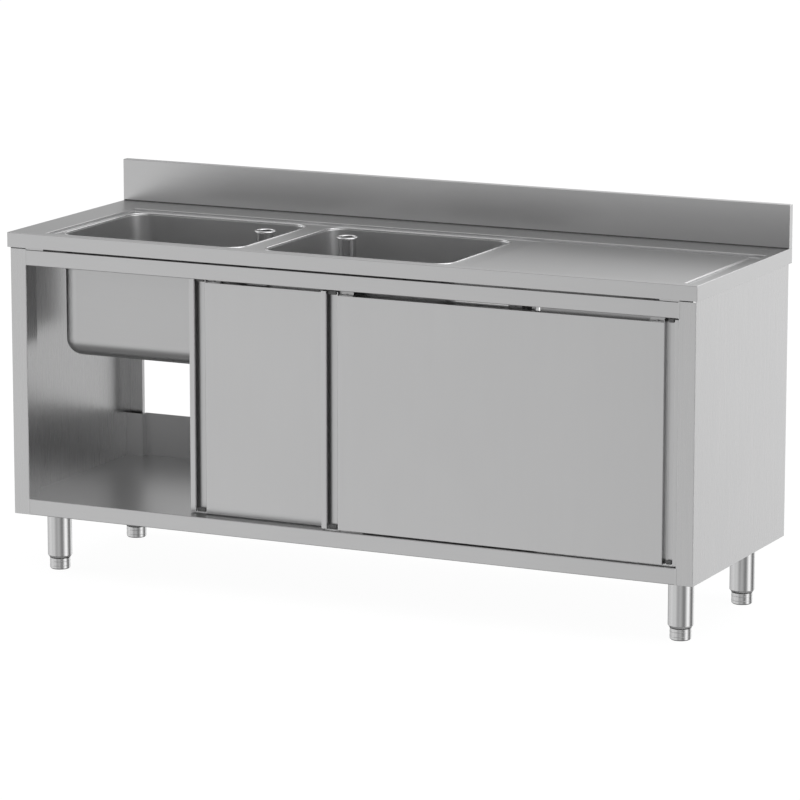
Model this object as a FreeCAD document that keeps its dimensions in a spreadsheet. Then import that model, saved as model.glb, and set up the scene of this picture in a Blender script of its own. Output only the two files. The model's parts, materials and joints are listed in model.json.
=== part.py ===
"""Stainless steel sink unit: two pressed bowls and a drainer on a cabinet with two sliding doors.

Frame: X runs along the width, Y from the front to the wall, Z up from the floor.
The origin lies on the floor under the middle of the worktop.  All lengths are in millimetres.
"""
import FreeCAD, Part
import math
import os
import Sketcher

# Driving sizes: one row of the sheet each.
SIZES = {
    # worktop and splashback
    "top_width": 1800.0,
    "top_depth": 600.0,
    "top_height": 850.0,
    "top_steel": 1.2,
    "fascia_height": 36.0,
    "fascia_lip": 15.0,
    "edge_radius": 1.6,
    "splash_height": 105.0,
    "splash_depth": 19.0,
    "front_rim": 28.0,
    "left_rim": 94.0,
    "right_rim": 16.0,
    "ledge_depth": 111.0,
    "deck_drop": 8.0,
    "step_radius": 2.0,
    "drainer_drop": 4.0,
    "drainer_gap_left": 57.0,
    "drainer_gap_right": 34.0,
    "drainer_gap_front": 17.0,
    "drainer_gap_rear": 15.0,
    "drainer_slope": 2.5,
    "stiffener_width": 60.0,
    "stiffener_height": 24.0,
    "stiffener_flange": 14.0,
    "stiffener_inset": 130.0,
    # bowls
    "bowl_margin_left": 9.0,
    "bowl_margin_front": 32.0,
    "bowl_margin_rear": 10.0,
    "bowl_width": 500.0,
    "bowl_gap": 49.0,
    "bowl_depth": 297.0,
    "bowl_steel": 1.0,
    "bowl_lip": 5.0,
    "bowl_lip_radius": 4.5,
    "bowl_corner": 46.0,
    "bowl_foot_radius": 40.0,
    # wastes and overflow standpipes
    "waste_from_side_left": 71.0,
    "waste_from_side_right": 93.0,
    "waste_from_rear": 110.0,
    "waste_hole_radius": 24.5,
    "waste_shank_radius": 24.2,
    "waste_thread_radius": 23.9,
    "waste_bore_radius": 19.0,
    "waste_throat_radius": 22.0,
    "waste_throat_depth": 26.0,
    "waste_flange_radius": 30.5,
    "waste_flange_thickness": 2.0,
    "waste_tail_length": 70.0,
    "waste_shank_length": 15.0,
    "top_seal_thickness": 1.0,
    "low_seal_thickness": 3.0,
    "nut_thickness": 9.0,
    "nut_flats": 64.0,
    "thread_clearance": 0.1,
    "pipe_radius": 22.0,
    "pipe_wall": 1.0,
    "pipe_bead": 3.0,
    "bead_overlap": 0.3,
    "plug_collar_radius": 24.5,
    "plug_collar_height": 3.0,
    "plug_bore_radius": 17.0,
    "plug_taper": 1.2,
    "plug_clearance": 0.3,
    "seat_clearance": 0.2,
    # carcass
    "carcass_steel": 1.0,
    "carcass_bottom": 152.0,
    "side_overhang": 5.0,
    "front_overhang": 7.0,
    "rear_overhang": 7.0,
    "post_width": 42.5,
    "post_return": 50.0,
    "post_lip": 15.0,
    "post_shadow_gap": 3.5,
    "rear_post_return": 12.0,
    "panel_flange": 12.0,
    "bracket_length": 48.0,
    "bracket_depth": 20.0,
    "rail_gap": 5.0,
    "rail_height": 38.5,
    "rail_lip": 6.0,
    "rear_rail_depth": 30.0,
    "shelf_apron": 39.0,
    "shelf_apron_return": 22.0,
    "upstand_height": 111.0,
    "upstand_notch": 20.0,
    "upstand_clearance": 3.5,
    "channel_width": 110.0,
    "channel_steel": 1.5,
    "centre_channel_width": 60.0,
    # legs and feet
    "leg_radius": 30.0,
    "leg_wall": 1.5,
    "leg_from_side": 68.5,
    "leg_from_front": 100.0,
    "leg_from_rear": 97.0,
    "leg_plate_size": 96.0,
    "leg_plate_thickness": 3.0,
    "leg_bolt_spacing": 72.0,
    "collar_height": 5.0,
    "collar_taper": 4.0,
    "insert_height": 20.0,
    "foot_radius": 25.0,
    "foot_height": 30.0,
    "foot_bevel": 2.5,
    "stem_radius": 6.0,
    "stem_length": 50.0,
    "running_clearance": 0.05,
    # doors
    "door_width": 908.0,
    "door_thickness": 18.0,
    "door_recess": 9.0,
    "door_spacing": 10.0,
    "door_top_gap": 13.0,
    "door_bottom_gap": 3.0,
    "door_end_gap": 2.0,
    "rear_door_shift": 426.0,
    "door_steel": 0.8,
    "grip_flange_left": 14.0,
    "grip_left": 28.0,
    "grip_right": 25.0,
    "grip_flange_right": 10.5,
    "grip_lip": 5.0,
    "grip_radius": 7.0,
    "grip_bow_radius": 3.5,
    "grip_rise": 8.5,
    "door_edge_radius": 1.5,
    "door_channel_height": 12.0,
    "door_channel_steel": 1.2,
    "cap_height": 9.0,
    "cap_depth": 7.0,
    # door gear
    "track_width": 20.0,
    "track_height": 31.0,
    "track_steel": 1.5,
    "track_slot": 7.0,
    "track_end_gap": 3.0,
    "blind_inset": 14.5,
    "blind_drop": 32.0,
    "blind_hem": 4.0,
    "roller_radius": 10.0,
    "roller_width": 4.5,
    "roller_play": 0.3,
    "roller_side_play": 0.6,
    "axle_radius": 3.0,
    "axle_head": 1.0,
    "hanger_width": 36.0,
    "hanger_thickness": 2.0,
    "hanger_above_axle": 8.0,
    "hanger_foot_depth": 14.0,
    "hanger_foot_thickness": 2.0,
    "hanger_from_left": 23.0,
    "hanger_from_right": 20.0,
    "stop_length": 18.0,
    "stop_play": 0.5,
    "stop_side_clearance": 0.5,
    "guide_length": 100.0,
    "guide_fin_length": 28.0,
    "guide_base": 1.5,
    "guide_side_clearance": 1.2,
    "guide_top_clearance": 1.5,
    "guide_screw_inset": 10.0,
    # fasteners
    "screw_radius": 1.75,
    "screw_head_radius": 2.8,
    "screw_head_height": 1.6,
    "flush_head_height": 1.0,
    "screw_length": 7.0,
    "hole_clearance": 0.3,
    "leg_bolt_radius": 3.0,
    "leg_bolt_head_radius": 5.0,
    "leg_bolt_head_height": 3.0,
    "leg_bolt_length": 14.0,
    "leg_nut_flats": 10.0,
    "leg_nut_thickness": 5.0,
    # small allowances
    "weld_inset": 1.0,
    "stem_bevel": 1.0,
    "cut_margin": 1.0,
}

MM_CLOSE = 1e-3

doc = FreeCAD.newDocument("sink_unit")
sheet = doc.addObject("Spreadsheet::Sheet", "Sizes")
for row, (alias, number) in enumerate(SIZES.items(), start=1):
    sheet.set(f"A{row}", alias)
    sheet.set(f"B{row}", str(number))
    sheet.setAlias(f"B{row}", alias)
doc.recompute()

PARTS = []


class Size:
    """A length that remembers the formula which ties it to the sheet."""

    def __init__(self, value, formula):
        self.value = value
        self.formula = formula

    def __add__(self, other):
        other = as_size(other)
        return Size(self.value + other.value, f"({self.formula} + {other.formula})")

    def __sub__(self, other):
        other = as_size(other)
        return Size(self.value - other.value, f"({self.formula} - {other.formula})")

    def __mul__(self, factor):
        factor = as_size(factor)
        return Size(self.value * factor.value, f"({self.formula} * {factor.formula})")

    def __truediv__(self, factor):
        factor = as_size(factor)
        return Size(self.value / factor.value, f"({self.formula} / {factor.formula})")

    def __neg__(self):
        return self * -1.0

    __radd__ = __add__
    __rmul__ = __mul__


def as_size(number):
    return number if isinstance(number, Size) else Size(float(number), repr(float(number)))


class Sheet:
    """Reads like the sheet: SZ.top_width is the cell with that alias."""

    def __getattr__(self, alias):
        return Size(SIZES[alias], f"Sizes.{alias}")


SZ = Sheet()


# ---------------------------------------------------------------- tools of the drawing office

def bind(obj, prop, length):
    """Gives a property its number and ties it to the sheet."""
    length = as_size(length)
    obj.setExpression(prop, length.formula)
    return obj


def keep(obj, label):
    """Names a finished sub-part; its label is also its file's name."""
    obj.Label = label
    PARTS.append(obj)
    return obj


def new_body(label, alone=True):
    """A body that is a sub-part of its own, or one of several that a group will hold."""
    body = doc.addObject("PartDesign::Body", label)
    return keep(body, label) if alone else body


def new_sketch(body, plane, offset=0.0):
    """A sketch on one of the body's own origin planes, moved along the plane's normal."""
    role = plane + "_Plane"
    base = [f for f in body.Origin.OriginFeatures if f.Role == role][0]
    sketch = body.newObject("Sketcher::SketchObject", body.Name + "_sketch")
    sketch.AttachmentSupport = [(base, "")]
    sketch.MapMode = "FlatFace"
    bind(sketch, "AttachmentOffset.Base.z", offset)
    return sketch


def place_point(sketch, geo, pos, x, y):
    for kind, length in (("DistanceX", x), ("DistanceY", y)):
        index = sketch.addConstraint(Sketcher.Constraint(kind, geo, pos, length.value))
        sketch.setExpression(f"Constraints[{index}]", length.formula)


def draw_polygon(sketch, corners):
    corners = [(as_size(x), as_size(y)) for x, y in corners]
    vectors = [FreeCAD.Vector(x.value, y.value, 0) for x, y in corners]
    first = sketch.GeometryCount
    count = len(corners)
    for i in range(count):
        sketch.addGeometry(Part.LineSegment(vectors[i], vectors[(i + 1) % count]), False)
    for i in range(count):
        following = first + (i + 1) % count
        sketch.addConstraint(Sketcher.Constraint("Coincident", first + i, 2, following, 1))
    for i, (x, y) in enumerate(corners):
        place_point(sketch, first + i, 1, x, y)


def draw_rectangle(sketch, x0, x1, y0, y1):
    draw_polygon(sketch, [(x0, y0), (x1, y0), (x1, y1), (x0, y1)])


def draw_circle(sketch, x, y, radius):
    x, y, radius = as_size(x), as_size(y), as_size(radius)
    centre = FreeCAD.Vector(x.value, y.value, 0)
    geo = sketch.addGeometry(Part.Circle(centre, FreeCAD.Vector(0, 0, 1), radius.value), False)
    place_point(sketch, geo, 3, x, y)
    index = sketch.addConstraint(Sketcher.Constraint("Radius", geo, radius.value))
    sketch.setExpression(f"Constraints[{index}]", radius.formula)


def draw_rounded_rectangle(sketch, x0, x1, y0, y1, radius):
    """Four sides and four tangent corner arcs."""
    corners = [(x1, y0, -1, 1, 270), (x1, y1, -1, -1, 0), (x0, y1, 1, -1, 90), (x0, y0, 1, 1, 180)]
    arcs = []
    for x, y, inward_x, inward_y, start in corners:
        centre = FreeCAD.Vector(x.value + inward_x * radius.value, y.value + inward_y * radius.value, 0)
        circle = Part.Circle(centre, FreeCAD.Vector(0, 0, 1), radius.value)
        arc = Part.ArcOfCircle(circle, math.radians(start), math.radians(start + 90))
        arcs.append(sketch.addGeometry(arc, False))
        place_point(sketch, arcs[-1], 3, x + radius * inward_x, y + radius * inward_y)
        index = sketch.addConstraint(Sketcher.Constraint("Radius", arcs[-1], radius.value))
        sketch.setExpression(f"Constraints[{index}]", radius.formula)
    for i, arc in enumerate(arcs):
        other = arcs[(i + 1) % 4]
        ends = [sketch.getPoint(arc, 2), sketch.getPoint(other, 1)]
        side = sketch.addGeometry(Part.LineSegment(*ends), False)
        sketch.addConstraint(Sketcher.Constraint("Tangent", arc, 2, side, 1))
        sketch.addConstraint(Sketcher.Constraint("Tangent", side, 2, other, 1))


def pad(body, sketch, length, reverse=False):
    feature = body.newObject("PartDesign::Pad", body.Name + "_pad")
    feature.Profile = sketch
    feature.Reversed = reverse
    return bind(feature, "Length", length)


def pocket(body, sketch, length, reverse=False):
    """Cuts against the sketch's normal, or along it when reversed, and proves that it cut."""
    doc.recompute()
    before = body.Shape.Volume
    feature = body.newObject("PartDesign::Pocket", body.Name + "_pocket")
    feature.Profile = sketch
    feature.Reversed = reverse
    bind(feature, "Length", length)
    doc.recompute()
    if body.Shape.Volume > before - MM_CLOSE:
        raise RuntimeError(f"{feature.Name} removes nothing")
    return feature


def revolve(body, sketch):
    """A full turn about the sketch's own vertical axis."""
    feature = body.newObject("PartDesign::Revolution", body.Name + "_revolution")
    feature.Profile = sketch
    feature.ReferenceAxis = (sketch, ["V_Axis"])
    feature.Angle = 360.0
    return feature


def edges_where(shape, test):
    return [f"Edge{i}" for i, edge in enumerate(shape.Edges, start=1) if test(edge)]


def dress(body, kind, amount, test):
    """A fillet or a chamfer on the edges that pass the test."""
    doc.recompute()
    names = edges_where(body.Tip.Shape, test)
    if not names:
        raise RuntimeError(f"{body.Name}: no edge found for its {kind}")
    base = body.Tip
    feature = body.newObject("PartDesign::" + kind, body.Name + "_" + kind.lower())
    feature.Base = (base, names)
    bind(feature, "Radius" if kind == "Fillet" else "Size", amount)
    doc.recompute()
    return feature


def close(a, b):
    return abs(a - b) < MM_CLOSE * 10


def runs_along(edge, axis):
    a, b = edge.Vertexes[0].Point, edge.Vertexes[-1].Point
    return all(close(a[k], b[k]) for k in range(3) if k != axis) and not close(a[axis], b[axis])


def edge_at(axis, spots):
    """Passes straight edges along an axis that go through one of the spots across it."""
    across = [k for k in range(3) if k != axis]

    def test(edge):
        if len(edge.Vertexes) < 2 or not runs_along(edge, axis):
            return False
        point = edge.Vertexes[0].Point
        return any(close(point[across[0]], u) and close(point[across[1]], v) for u, v in spots)
    return test


def edge_level(z, extent=None):
    """Passes edges that lie wholly at one height, within an extent in X and Y if one is given."""
    def test(edge):
        box = edge.BoundBox
        if not (close(box.ZMin, z) and close(box.ZMax, z)):
            return False
        if extent is None:
            return True
        x0, x1, y0, y1 = extent
        slack = MM_CLOSE * 10
        return (box.XMin > x0 - slack and box.XMax < x1 + slack
                and box.YMin > y0 - slack and box.YMax < y1 + slack)
    return test


def turn_of(a, b, c):
    """+1 where the path turns left at b, -1 where it turns right."""
    cross = (b[0] - a[0]) * (c[1] - b[1]) - (b[1] - a[1]) * (c[0] - b[0])
    return 1 if cross > 0 else -1


def folded_section(path, steel, side):
    """The outline of a sheet folded along a path of square bends.

    side is +1 where the steel lies to the left of the path and -1 where it lies to the right.
    Gives the outline's corners, and the spots of the outer and inner corners of the bends.
    """
    path = [(as_size(x), as_size(y)) for x, y in path]
    spots = [(x.value, y.value) for x, y in path]
    count = len(path)
    normals = []
    for (ax, ay), (bx, by) in zip(spots[:-1], spots[1:]):
        length = math.hypot(bx - ax, by - ay)
        normals.append((round(-(by - ay) / length) * side, round((bx - ax) / length) * side))
    back = []
    for i, (x, y) in enumerate(path):
        if i == 0:
            nx, ny = normals[0]
        elif i == count - 1:
            nx, ny = normals[-1]
        else:
            nx, ny = normals[i - 1][0] + normals[i][0], normals[i - 1][1] + normals[i][1]
        back.append((x + steel * nx, y + steel * ny))
    outer, inner = [], []
    for i in range(1, count - 1):
        toward_steel = turn_of(*spots[i - 1:i + 2]) == side
        far = (back[i][0].value, back[i][1].value)
        outer.append(spots[i] if toward_steel else far)
        inner.append(far if toward_steel else spots[i])
    return path + back[::-1], outer, inner


def folded_body(label, plane, path, steel, side, start, length, radius=None, round_at=None, alone=True):
    """A sheet folded along a path on a plane and drawn out along that plane's normal.

    round_at picks the bends that get a radius; all of them do when it is left out.
    """
    body = new_body(label, alone)
    outline, outer, inner = folded_section(path, steel, side)
    sketch = new_sketch(body, plane, start)
    draw_polygon(sketch, outline)
    pad(body, sketch, length)
    if radius is not None:
        axis = {"XY": 2, "XZ": 1, "YZ": 0}[plane]
        chosen = range(len(outer)) if round_at is None else round_at
        dress(body, "Fillet", radius + steel, edge_at(axis, [outer[i] for i in chosen]))
        dress(body, "Fillet", radius, edge_at(axis, [inner[i] for i in chosen]))
    return body


def add_box(body, x0, x1, y0, y1, z0, z1):
    sketch = new_sketch(body, "XY", z0)
    draw_rectangle(sketch, x0, x1, y0, y1)
    pad(body, sketch, z1 - z0)


def cut_box(body, x0, x1, y0, y1, z0, z1):
    sketch = new_sketch(body, "XY", z1)
    draw_rectangle(sketch, x0, x1, y0, y1)
    pocket(body, sketch, z1 - z0)


def drill(body, z, spots, radius, depth):
    """Round holes cut down from a height."""
    holes = new_sketch(body, "XY", z)
    for x, y in spots:
        draw_circle(holes, x, y, radius)
    pocket(body, holes, depth)


def part_box(name, x0, x1, y0, y1, z0, z1):
    box = doc.addObject("Part::Box", name)
    sides = (("Length", x0, x1), ("Width", y0, y1), ("Height", z0, z1))
    for (prop, low, high), axis in zip(sides, "xyz"):
        bind(box, prop, as_size(high) - low)
        bind(box, f"Placement.Base.{axis}", low)
    return box


def part_cylinder(name, x, y, z, radius, height):
    cylinder = doc.addObject("Part::Cylinder", name)
    bind(cylinder, "Radius", radius)
    bind(cylinder, "Height", height)
    for axis, length in zip("xyz", (x, y, z)):
        bind(cylinder, f"Placement.Base.{axis}", length)
    return cylinder


def fuse(name, pieces):
    joined = doc.addObject("Part::MultiFuse", name)
    joined.Shapes = pieces
    return joined


def cut(name, base, tool):
    result = doc.addObject("Part::Cut", name)
    result.Base = base
    result.Tool = tool
    return result


def group(label, pieces):
    """Identical loose pieces that share one node."""
    compound = doc.addObject("Part::Compound", label)
    compound.Links = pieces
    return keep(compound, label)


def screw(name, x, y, z_seat, grip, shank_radius, head_radius, head_height, up):
    """A pan-head screw: its head lies on z_seat and its shank runs up or down from there."""
    if up:
        head_z, shank_z = z_seat - head_height, z_seat
    else:
        head_z, shank_z = z_seat, z_seat - grip
    head = part_cylinder(name + "_head", x, y, head_z, head_radius, head_height)
    shank = part_cylinder(name + "_shank", x, y, shank_z, shank_radius, grip)
    return fuse(name, [head, shank])


def place_body(body, x, y, z=0.0):
    for axis, length in zip("xyz", (x, y, z)):
        bind(body, f"Placement.Base.{axis}", length)


# ---------------------------------------------------------------- places shared by the pieces

top_z = SZ.top_height
fascia_z = top_z - SZ.fascia_height
left_x = -SZ.top_width / 2
right_x = SZ.top_width / 2
front_y = -SZ.top_depth / 2
rear_y = SZ.top_depth / 2
splash_y = rear_y - SZ.splash_depth

deck_z = top_z - SZ.deck_drop
drainer_z = top_z - SZ.drainer_drop
recess_x0 = left_x + SZ.left_rim
recess_x1 = right_x - SZ.right_rim
recess_y0 = front_y + SZ.front_rim
recess_y1 = splash_y - SZ.ledge_depth

bowl_y1 = recess_y1 - SZ.bowl_margin_rear
bowl_y0 = recess_y0 + SZ.bowl_margin_front
bowl_left_x0 = recess_x0 + SZ.bowl_margin_left
bowl_right_x0 = bowl_left_x0 + SZ.bowl_width + SZ.bowl_gap
bowl_floor_z = deck_z - SZ.bowl_depth

drainer_x0 = bowl_right_x0 + SZ.bowl_width + SZ.drainer_gap_left
drainer_x1 = recess_x1 - SZ.drainer_gap_right
drainer_y0 = recess_y0 + SZ.drainer_gap_front
drainer_y1 = recess_y1 - SZ.drainer_gap_rear

side_x = right_x - SZ.side_overhang
frame_y0 = front_y + SZ.front_overhang
frame_y1 = rear_y - SZ.rear_overhang
post_x = side_x - SZ.post_width
frame_z0 = SZ.carcass_bottom
rail_z1 = fascia_z - SZ.rail_gap
rail_z0 = rail_z1 - SZ.rail_height
shelf_z = frame_z0 + SZ.shelf_apron

door_front_y = frame_y0 + SZ.door_recess
rear_door_front_y = door_front_y + SZ.door_thickness + SZ.door_spacing
door_z0 = shelf_z + SZ.door_bottom_gap
door_z1 = rail_z0 - SZ.door_top_gap
front_door_x = post_x - SZ.door_end_gap - SZ.door_width
rear_door_x = -post_x + SZ.door_end_gap + SZ.rear_door_shift
panel_from = SZ.grip_flange_left + SZ.grip_left
panel_to = SZ.door_width - SZ.grip_flange_right - SZ.grip_right

track_middles = [y + SZ.door_thickness / 2 for y in (door_front_y, rear_door_front_y)]
track_z1 = rail_z1 - SZ.carcass_steel
track_z0 = track_z1 - SZ.track_height
axle_z = track_z0 + SZ.track_steel + SZ.roller_radius + SZ.roller_play


# ---------------------------------------------------------------- worktop

def make_worktop():
    """One pressed sheet: folded fascia, raised rim, sunk deck with two openings, drainer plateau."""
    steel = SZ.top_steel
    inner_rear = rear_y - steel
    body = new_body("worktop")
    add_box(body, left_x, right_x, front_y, inner_rear, fascia_z, top_z)
    # the hollow under the top, then its smaller mouth inside the fascia's lip
    hollow = new_sketch(body, "XY", fascia_z + steel)
    draw_rectangle(hollow, left_x + steel, right_x - steel, front_y + steel, inner_rear)
    pocket(body, hollow, SZ.fascia_height - steel * 2, reverse=True)
    lip = SZ.fascia_lip
    cut_box(body, left_x + lip, right_x - lip, front_y + lip, inner_rear, fascia_z, fascia_z + steel)
    # the tray that hangs below the rim
    add_box(body, recess_x0 - steel, recess_x1 + steel, recess_y0 - steel, recess_y1 + steel,
            deck_z - steel, top_z - steel / 2)
    cut_box(body, recess_x0, recess_x1, recess_y0, recess_y1, deck_z, top_z)
    # the drainer's plateau, hollow below
    add_box(body, drainer_x0, drainer_x1, drainer_y0, drainer_y1, deck_z - steel / 2, drainer_z)
    dress(body, "Chamfer", SZ.drainer_slope, edge_level(
        drainer_z.value, (drainer_x0.value, drainer_x1.value, drainer_y0.value, drainer_y1.value)))
    inset = SZ.drainer_slope + steel
    cut_box(body, drainer_x0 + inset, drainer_x1 - inset, drainer_y0 + inset, drainer_y1 - inset,
            deck_z - steel, drainer_z - steel)
    # the two openings that the bowls are welded into
    for x0 in (bowl_left_x0, bowl_right_x0):
        opening = new_sketch(body, "XY", deck_z)
        draw_rounded_rectangle(opening, x0, x0 + SZ.bowl_width, bowl_y0, bowl_y1,
                               SZ.bowl_corner + SZ.bowl_lip)
        pocket(body, opening, steel * 2)
    # soft folds: the fascia's edges and the step round the deck
    outer_spots = [(left_x.value, front_y.value), (right_x.value, front_y.value)]
    dress(body, "Fillet", SZ.edge_radius, edge_at(2, outer_spots))

    def rim_edge(edge):
        box = edge.BoundBox
        level = close(box.ZMin, top_z.value) and close(box.ZMax, top_z.value)
        at_wall = close(box.YMin, inner_rear.value) and close(box.YMax, inner_rear.value)
        return level and not at_wall
    dress(body, "Fillet", SZ.edge_radius, rim_edge)
    recess = (recess_x0.value, recess_x1.value, recess_y0.value, recess_y1.value)

    def step_foot(edge):
        box = edge.BoundBox
        level = close(box.ZMin, deck_z.value) and close(box.ZMax, deck_z.value)
        at_side = close(box.XMin, box.XMax) and (close(box.XMin, recess[0]) or close(box.XMin, recess[1]))
        at_end = close(box.YMin, box.YMax) and (close(box.YMin, recess[2]) or close(box.YMin, recess[3]))
        return level and (at_side or at_end)
    dress(body, "Fillet", SZ.step_radius, step_foot)
    return body


def make_splashback():
    """A box-folded upstand, open below onto the worktop, whose back covers the worktop's rear edge."""
    steel = SZ.top_steel
    splash_z = top_z + SZ.splash_height
    body = new_body("splashback")
    add_box(body, left_x, right_x, splash_y, rear_y, top_z, splash_z)
    cut_box(body, left_x + steel, right_x - steel, splash_y + steel, rear_y - steel,
            top_z, splash_z - steel)
    add_box(body, left_x, right_x, rear_y - steel, rear_y, fascia_z, top_z + steel)
    dress(body, "Fillet", SZ.edge_radius, edge_level(splash_z.value))
    return body


def make_drainer_stiffener(name, x_middle):
    """A hat section spot-welded under the drainer, from front to back."""
    steel = SZ.channel_steel
    half = SZ.stiffener_width / 2
    crown = half - SZ.stiffener_flange
    z_top = drainer_z - SZ.top_steel
    z_low = z_top - SZ.stiffener_height
    path = [(x_middle - half, z_top), (x_middle - crown, z_top), (x_middle - crown, z_low),
            (x_middle + crown, z_low), (x_middle + crown, z_top), (x_middle + half, z_top)]
    inset = SZ.drainer_slope + SZ.top_steel + SZ.weld_inset
    y_rear = drainer_y1 - inset
    return folded_body(name, "XZ", path, steel, -1, -y_rear, y_rear - drainer_y0 - inset, alone=False)


# ---------------------------------------------------------------- bowls, wastes and standpipes

def make_bowl(side_name, x0, waste_x, waste_y):
    """A deep-drawn bowl: rounded walls and foot, and a rolled lip that runs out level with the deck."""
    steel = SZ.bowl_steel
    lip = SZ.bowl_lip
    x1 = x0 + SZ.bowl_width
    y0, y1 = bowl_y0, bowl_y1
    body = new_body(f"bowl_{side_name}")
    rim = new_sketch(body, "XY", deck_z)
    draw_rounded_rectangle(rim, x0, x1, y0, y1, SZ.bowl_corner + lip)
    pad(body, rim, steel, reverse=True)
    shell = new_sketch(body, "XY", deck_z)
    wall = lip - steel
    draw_rounded_rectangle(shell, x0 + wall, x1 - wall, y0 + wall, y1 - wall, SZ.bowl_corner + steel)
    pad(body, shell, SZ.bowl_depth + steel, reverse=True)
    span = ((x0 + wall).value, (x1 - wall).value, (y0 + wall).value, (y1 - wall).value)
    dress(body, "Fillet", SZ.bowl_lip_radius - steel, edge_level((deck_z - steel).value, span))
    hollow = new_sketch(body, "XY", deck_z)
    draw_rounded_rectangle(hollow, x0 + lip, x1 - lip, y0 + lip, y1 - lip, SZ.bowl_corner)
    pocket(body, hollow, SZ.bowl_depth)
    inside = ((x0 + lip).value, (x1 - lip).value, (y0 + lip).value, (y1 - lip).value)
    dress(body, "Fillet", SZ.bowl_foot_radius, edge_level(bowl_floor_z.value, inside))
    dress(body, "Fillet", SZ.bowl_foot_radius + steel, edge_level((bowl_floor_z - steel).value))
    dress(body, "Fillet", SZ.bowl_lip_radius, edge_level(deck_z.value, inside))
    hole = new_sketch(body, "XY", bowl_floor_z)
    draw_circle(hole, waste_x, waste_y, SZ.waste_hole_radius)
    pocket(body, hole, steel * 2)
    return body


def turned_body(label, profile, x, y):
    """A turned piece: its profile holds radius and height, and it stands at x and y."""
    body = new_body(label)
    sketch = new_sketch(body, "XZ")
    draw_polygon(sketch, profile)
    revolve(body, sketch)
    place_body(body, x, y)
    return body


def make_waste(side_name, x, y):
    """Flange and threaded tail, the two seals that grip the bowl's floor, and the nut below."""
    flange_z0 = bowl_floor_z + SZ.top_seal_thickness
    flange_z1 = flange_z0 + SZ.waste_flange_thickness
    throat_z = flange_z1 - SZ.waste_throat_depth
    tail_z = bowl_floor_z - SZ.waste_tail_length
    shank_z = bowl_floor_z - SZ.waste_shank_length
    bevel = SZ.waste_flange_thickness / 2
    turned_body(f"waste_body_{side_name}", [
        (SZ.waste_throat_radius, flange_z1), (SZ.waste_throat_radius, throat_z),
        (SZ.waste_bore_radius, throat_z), (SZ.waste_bore_radius, tail_z),
        (SZ.waste_thread_radius, tail_z), (SZ.waste_thread_radius, shank_z),
        (SZ.waste_shank_radius, shank_z), (SZ.waste_shank_radius, flange_z0),
        (SZ.waste_flange_radius, flange_z0), (SZ.waste_flange_radius, flange_z1 - bevel),
        (SZ.waste_flange_radius - bevel, flange_z1)], x, y)
    under_z = bowl_floor_z - SZ.bowl_steel
    seal_radius = SZ.waste_flange_radius - SZ.top_seal_thickness * 2
    rings = []
    for name, z, thickness in (("top_seal", bowl_floor_z, SZ.top_seal_thickness),
                               ("low_seal", under_z - SZ.low_seal_thickness, SZ.low_seal_thickness)):
        disc = part_cylinder(f"{name}_{side_name}", x, y, z, seal_radius, thickness)
        hole = part_cylinder(f"{name}_hole_{side_name}", x, y, z - SZ.cut_margin,
                             SZ.waste_hole_radius, thickness + 2 * SZ.cut_margin)
        rings.append(cut(f"{name}_ring_{side_name}", disc, hole))
    nut = new_body(f"waste_nut_{side_name}", alone=False)
    nut_sketch = new_sketch(nut, "XY", under_z - SZ.low_seal_thickness)
    flats, reach = SZ.nut_flats / 2, SZ.nut_flats / math.sqrt(3.0)
    draw_polygon(nut_sketch, [(reach, 0), (reach / 2, flats), (-reach / 2, flats),
                              (-reach, 0), (-reach / 2, -flats), (reach / 2, -flats)])
    draw_circle(nut_sketch, 0, 0, SZ.waste_shank_radius + SZ.thread_clearance)
    pad(nut, nut_sketch, SZ.nut_thickness, reverse=True)
    place_body(nut, x, y)
    return rings, nut


def make_standpipe(side_name, x, y):
    """A tube with a rolled bead at its mouth, and the tapered plug that seats in the waste."""
    flange_z1 = bowl_floor_z + SZ.top_seal_thickness + SZ.waste_flange_thickness
    seat_z = flange_z1 + SZ.seat_clearance
    collar_z = seat_z + SZ.plug_collar_height
    pipe_z1 = deck_z - SZ.pipe_bead
    inner = SZ.pipe_radius - SZ.pipe_wall
    pipe = new_body(f"standpipe_{side_name}")
    tube = new_sketch(pipe, "XY", collar_z)
    draw_circle(tube, 0, 0, SZ.pipe_radius)
    draw_circle(tube, 0, 0, inner)
    pad(pipe, tube, pipe_z1 - collar_z)
    bead = new_sketch(pipe, "XZ")
    draw_circle(bead, inner + SZ.pipe_bead - SZ.bead_overlap, pipe_z1, SZ.pipe_bead)
    revolve(pipe, bead)
    place_body(pipe, x, y)
    spigot = inner - SZ.running_clearance
    cone = SZ.waste_throat_radius - SZ.plug_clearance
    tip_z = flange_z1 - SZ.waste_throat_depth + SZ.plug_clearance * 10
    spigot_z = collar_z + SZ.plug_collar_height * 4
    turned_body(f"standpipe_plug_{side_name}", [
        (SZ.plug_bore_radius, spigot_z), (SZ.plug_bore_radius, tip_z),
        (cone - SZ.plug_taper, tip_z), (cone, seat_z),
        (SZ.plug_collar_radius, seat_z), (SZ.plug_collar_radius, collar_z),
        (spigot, collar_z), (spigot, spigot_z)], x, y)


# ---------------------------------------------------------------- carcass

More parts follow.
